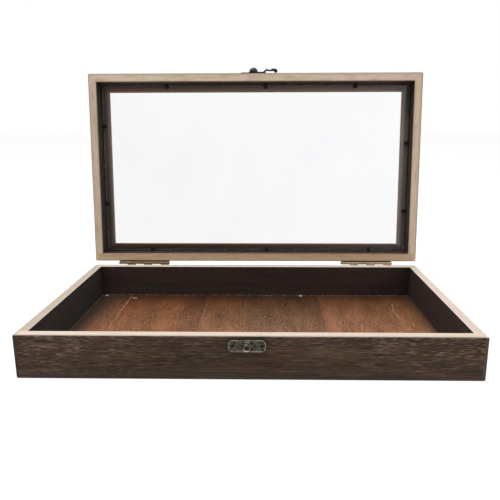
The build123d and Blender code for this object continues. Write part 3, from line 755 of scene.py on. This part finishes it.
def pressed_plate(node, hub_node, rim_side, field, ridge, rib, body, place):
    """A plate with a rubbed border and low wires pressed up round its nails, and a rib from its hub to the rim."""
    nail_in_mm, nail_ring_mm, nail_arc_mm, hub_ring_mm, wire_sunk_mm = 3.5, 1.95, 3.6, 2.3, 0.12
    rib_half_width_mm, rib_past_mm, rib_rise_mm, rim_mm, arc = 2.1, 0.6, 0.5, 0.45, math.radians(150)
    low, high = place["box"](node)
    length_mm, thick_mm, height_mm = (high - low) / mm
    middle = (low + high) / 2
    hub_mm = (sum(corner.z for corner in place["box"](hub_node)) / 2 - middle.z) / mm

    shape = plate_blank(length_mm, height_mm, thick_mm)
    nail_mm = length_mm / 2 - nail_in_mm
    for x_mm, facing in ((-nail_mm, 0.0), (nail_mm, math.pi)):
        ring(shape, x_mm, 0.0, nail_ring_mm, thick_mm - wire_sunk_mm)
        ring(shape, x_mm, 0.0, nail_arc_mm, thick_mm - wire_sunk_mm, facing, arc)
    ring(shape, 0.0, hub_mm, hub_ring_mm, thick_mm)
    rib_end_mm = rim_side * (height_mm / 2 - rim_mm)
    rib_half_length_mm = abs(rib_end_mm - hub_mm) / 2 + rib_past_mm
    made = bmesh.ops.create_uvsphere(shape, u_segments=24, v_segments=16, radius=1.0)
    bmesh.ops.scale(shape, vec=Vector((rib_half_width_mm, rib_half_length_mm, rib_rise_mm)) * mm,
                    verts=made["verts"])
    bmesh.ops.translate(shape, vec=Vector((0, (rib_end_mm + hub_mm) / 2, thick_mm - rib_rise_mm)) * mm,
                        verts=made["verts"])
    for item in {face for vertex in made["verts"] for face in vertex.link_faces}:
        item.material_index = 2
    bmesh.ops.recalc_face_normals(shape, faces=shape.faces)

    stand = Matrix.Translation((middle.x, -half_depth_mm * mm, middle.z)) @ Matrix.Rotation(math.pi / 2, 4, "X")
    bmesh.ops.transform(shape, matrix=place["turn"] @ stand, verts=shape.verts)
    finished(f"{node}_pressed", shape, [ridge, field, rib], body, "bronzed_latch", node)


def hollow_post(rolled, bore):
    """The catch's post: a hollow rivet whose rolled ring holds the hook, lathed about its own axis."""
    low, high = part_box("catch_post")
    out = -low.y / mm - half_depth_mm
    into = half_depth_mm + high.y / mm
    ring_mm = (high.x - low.x) / 2 / mm
    bore_mm, bore_end_mm, neck_mm, collar_mm, collar_low_mm, collar_high_mm = 1.25, 4.4, 1.75, 2.3, 1.0, 1.25
    # Radius and height of each point: the bore, the flared mouth, the rolled ring, the neck and the collar
    profile_mm = [(0, bore_end_mm), (bore_mm, bore_end_mm), (bore_mm, out - 1.7),
                  (1.55, out - 0.95), (1.9, out - 0.3), (2.2, out - 0.04), (2.45, out),
                  (ring_mm - 0.2, out - 0.25), (ring_mm, out - 0.75), (ring_mm - 0.2, out - 1.3), (2.4, out - 1.58),
                  (neck_mm, out - 1.6), (neck_mm, 1.8), (collar_mm, collar_high_mm), (collar_mm, collar_low_mm),
                  (neck_mm, collar_low_mm), (neck_mm, -into), (0, -into)]
    shape = bmesh.new()
    points = [shape.verts.new((radius * mm, 0, height * mm)) for radius, height in profile_mm]
    edges = [shape.edges.new(pair) for pair in zip(points, points[1:])]
    bmesh.ops.spin(shape, geom=points + edges, cent=(0, 0, 0), axis=(0, 0, 1), dvec=(0, 0, 0), angle=math.tau,
                   steps=steps_per_turn, use_merge=True, use_duplicate=False)
    bmesh.ops.remove_doubles(shape, verts=shape.verts, dist=0.001 * mm)
    bmesh.ops.recalc_face_normals(shape, faces=shape.faces)
    # The bore and its mouth take the second material
    for face in shape.faces:
        centre = face.calc_center_median()
        inside = math.hypot(centre.x, centre.y) < 2.0 * mm and centre.z > (bore_end_mm - 0.1) * mm
        face.material_index = 1 if inside and face.normal.z > -0.5 else 0
    stand = Matrix.Translation(((low.x + high.x) / 2, -half_depth_mm * mm, (low.z + high.z) / 2))
    bmesh.ops.transform(shape, matrix=stand @ Matrix.Rotation(math.pi / 2, 4, "X"), verts=shape.verts)
    finished("catch_post_rolled", shape, [rolled, bore], "tray", "bronzed_latch", "catch_post")


make_camera()
make_world()
make_floor()
make_softbox("overhead_softbox", (-0.4, -0.05, 1.65), (0.0, 0.0, 0.0), 1.2, 27.0, "#FFFEFC")
make_softbox("front_softbox", (1.6, -1.2, 0.9), (0.0, 0.0, 0.05), 0.6, 4.5, "#FFFDFA")

# Each board's grain axis, its pattern's shift, the coat inside, and its raw wood: pale, tan, pinkish, olive and
# the greyed outer edge
boards = {
    "tray_front_board": ("X", (0, 0, 0), "#38292B", ("#DECFC2", "#CFBDAB", "#DBC3B8", "#CEC3AD", "#A8A19A")),
    "tray_rear_board": ("X", (310, 40, 15), "#382C2C", ("#D5CCC2", "#C9BDAF", "#D3C1B7", "#C9C1AC", "#C9C2B9")),
    "tray_left_board": ("Y", (55, 210, 31), "#38373A", ("#C0B5A8", "#B1A393", "#BDAA9F", "#B4A993", "#A8A19A")),
    "tray_right_board": ("Y", (-140, 65, 77), "#352A2C", ("#D9CDC3", "#CBBFB0", "#D5C1B8", "#CBC1AC", "#DDD6C8")),
    "lid_front_board": ("X", (95, 0, 58), "#58473D", ("#E8D8C6", "#D1BDA7", "#DFC1B3", "#D5CAA8", "#B9A793")),
    "lid_rear_board": ("X", (-260, 70, 9), "#38292B", ("#D8BEA1", "#C3A688", "#D0AA92", "#C6B289", "#B9A793")),
    "lid_left_board": ("Y", (20, -190, 43), "#38302E", ("#DBCAB6", "#C5B19A", "#D3B5A5", "#C8BD9B", "#B9A793")),
    "lid_right_board": ("Y", (160, 120, 84), "#38302E", ("#E9D5BC", "#D2BCA1", "#E1C0AC", "#D6C8A2", "#B9A793"))}
for node, (grain, shift_mm, inside, raw_colours) in boards.items():
    end_grain = "#564E4A" if node == "tray_right_board" else "#38302F"
    # The front board gets a painted shadow round the catch plate
    shadow_round = "catch_plate" if node == "tray_front_board" else None
    paint(node, stained_wood(f"stained_wood_{node}", grain, shift_mm, node.startswith("lid"), inside, raw_colours,
                             end_grain, shadow_round))

# The window frame's strips: grain axis, shift and stain. Each stain holds painted light, set for the light on its
# strip with the lid open: the front strip, on top in shade, is painted palest.
strips = {"window_frame_front": ("X", (30, 15, 120), "#C8A186"),
          "window_frame_rear": ("X", (-75, 33, 140), "#573F2D"),
          "window_frame_left": ("Y", (12, 66, 160), "#96887B"),
          "window_frame_right": ("Y", (48, -25, 180), "#BDADA0")}
for node, (grain, shift_mm, inside) in strips.items():
    paint(node, stained_wood(f"stained_wood_{node}", grain, shift_mm, True, inside))

paint("tray_floor", stained_plywood())
paint("glazing_points", black_enamel())

# The catch's field and ridges, its ring and rib, its bore, the latch and the nails, each of its own tones
post_mm = sum(corner.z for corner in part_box("catch_post")) / 2 / mm
catch_field = antique_bronze("antique_bronze_catch_field", False, "#0E0C0D", "#2B2828", "#57524D", rub=(0.0, 0.9))
catch_ridge = antique_bronze("antique_bronze_catch_ridge", False, "#2A2623", "#4E4842", "#857C70")
# Painted highlight: the ring's underside and the bore's lower part are paler, as if lit from below
catch_ring = antique_bronze("antique_bronze_catch_ring", False, "#1C1916", "#332D28", "#E6DAC6",
                            dullness=(0.3, 0.42), rub=(0.6, 1.0), lit_below_mm=(post_mm - 2.6, post_mm - 0.8))
catch_bore = antique_bronze("antique_bronze_catch_bore", False, "#3A3128", "#574B3C", "#8F8069",
                            dullness=(0.6, 0.75), rub=(0.6, 1.0), lit_below_mm=(post_mm - 1.3, post_mm + 0.6))
catch_rib = antique_bronze("antique_bronze_catch_rib", False, "#6E665F", "#958B82", "#B4AAA0",
                           dullness=(0.45, 0.6))
latch_field = antique_bronze("antique_bronze_latch", True, "#1B181A", "#2E2A2C", "#474244", dullness=(0.5, 0.62))
nail_bronze = antique_bronze("antique_bronze_nails", False, "#12100E", "#25211E", "#332E2A", dullness=(0.5, 0.65))

on_tray = {"box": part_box, "turn": Matrix.Identity(4)}
on_lid = {"box": shut_box, "turn": opening}
pressed_plate("catch_plate", "catch_post", 1, catch_field, catch_ridge, catch_rib, "tray", on_tray)
pressed_plate("latch_plate", "latch_rivet", -1, latch_field, latch_field, latch_field, "lid", on_lid)
hollow_post(catch_ring, catch_bore)
eased("latch_rivet", 0.2, latch_field, "lid", "bronzed_latch")
eased("latch_hook", 0.25, latch_field, "hook", "bronzed_latch")
for node in ("catch_nails", "latch_nails", "hinge_tray_screws", "hinge_lid_screws"):
    paint(node, nail_bronze)

# The right hinge is coloured lighter than the left one
hinge_tones = {"left": ("#4B3923", "#715A3D", "#8F7556"), "right": ("#6F5B3E", "#A28D68", "#C5B08E")}
for side, tones in hinge_tones.items():
    for leaf, in_lid in (("tray_leaf", False), ("lid_leaf", True)):
        bronze = antique_bronze(f"antique_bronze_{side}_{leaf}", in_lid, *tones)
        eased(f"hinge_{side}_{leaf}", 0.12, bronze, "lid" if in_lid else "tray", "bronzed_hinge")
    paint(f"hinge_{side}_pin", antique_bronze(f"antique_bronze_{side}_pin", False, *tones))

window_glass()

scene = bpy.context.scene
scene.view_settings.view_transform = "Standard"
